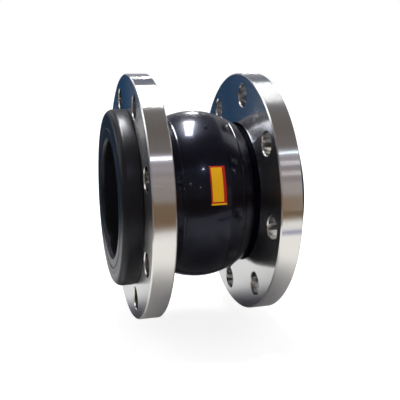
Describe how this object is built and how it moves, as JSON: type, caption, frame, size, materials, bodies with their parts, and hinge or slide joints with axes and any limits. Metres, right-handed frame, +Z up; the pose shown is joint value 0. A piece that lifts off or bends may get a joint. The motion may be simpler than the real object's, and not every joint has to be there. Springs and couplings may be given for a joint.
{
  "type": "rubber expansion joint",
  "caption": "Flanged pipe connector: a moulded rubber bellows arch held between loose steel backing flanges; it takes up pipe movement and vibration.",
  "frame": {"origin": "middle of the arch, on the pipe axis", "axes": "+X along the pipe axis towards the right flange, +Z up, front of the label towards -Y"},
  "size_m": [0.15, 0.21, 0.21],
  "materials": {
    "flange_steel": "turned and polished stainless steel",
    "black_rubber": "glossy moulded black rubber",
    "filler_rubber": "dull extruded rubber",
    "cord_ply": "rubberised nylon cord fabric",
    "bead_wire": "brass-coated drawn steel wire",
    "label": "yellow printed film with red bars, no lettering"
  },
  "bodies": {
    "left_end": {"left_collar": "black_rubber", "left_bead_wires": "bead_wire", "left_bead_filler": "filler_rubber"},
    "left_flange": {"left_flange": "flange_steel"},
    "left_flank": {"cord_ply_1": "cord_ply", "cord_ply_2": "cord_ply"},
    "crown": {"inner_liner": "black_rubber", "outer_cover": "black_rubber", "label": "label"},
    "right_flank": {"cord_ply_3": "cord_ply", "cord_ply_4": "cord_ply"},
    "right_end": {"right_collar": "black_rubber", "right_bead_wires": "bead_wire", "right_bead_filler": "filler_rubber"},
    "right_flange": {"right_flange": "flange_steel"}
  },
  "joints": [
    {"name": "left_flange_swivel", "type": "hinge", "parent": "left_end", "child": "left_flange", "pos_m": [-0.0495, 0, 0], "axis": [1, 0, 0], "continuous": true},
    {"name": "left_axial", "type": "slide", "parent": "left_end", "child": "left_flank", "axis": [1, 0, 0], "range_m": [-0.009, 0.005], "stiffness_N_per_m": 200000, "deforming": ["inner_liner", "cord_ply_1", "cord_ply_2", "cord_ply_3", "cord_ply_4", "outer_cover"]},
    {"name": "left_tilt", "type": "hinge", "parent": "left_flank", "child": "crown", "pos_m": [-0.045, 0, 0], "axis": [0, 1, 0], "range_deg": [-7.5, 7.5], "stiffness_Nm_per_rad": 600, "deforming": ["inner_liner", "cord_ply_1", "cord_ply_2", "cord_ply_3", "cord_ply_4", "outer_cover"]},
    {"name": "right_tilt", "type": "hinge", "parent": "crown", "child": "right_flank", "pos_m": [0.045, 0, 0], "axis": [0, 1, 0], "range_deg": [-7.5, 7.5], "stiffness_Nm_per_rad": 600, "deforming": ["inner_liner", "cord_ply_1", "cord_ply_2", "cord_ply_3", "cord_ply_4", "outer_cover"]},
    {"name": "right_axial", "type": "slide", "parent": "right_flank", "child": "right_end", "axis": [1, 0, 0], "range_m": [-0.009, 0.005], "stiffness_N_per_m": 200000, "deforming": ["inner_liner", "cord_ply_1", "cord_ply_2", "cord_ply_3", "cord_ply_4", "outer_cover"]},
    {"name": "right_flange_swivel", "type": "hinge", "parent": "right_end", "child": "right_flange", "pos_m": [0.0495, 0, 0], "axis": [1, 0, 0], "continuous": true}
  ],
  "couplings": [
    {"joint": "right_axial", "follows": "left_axial", "ratio": 1}
  ]
}
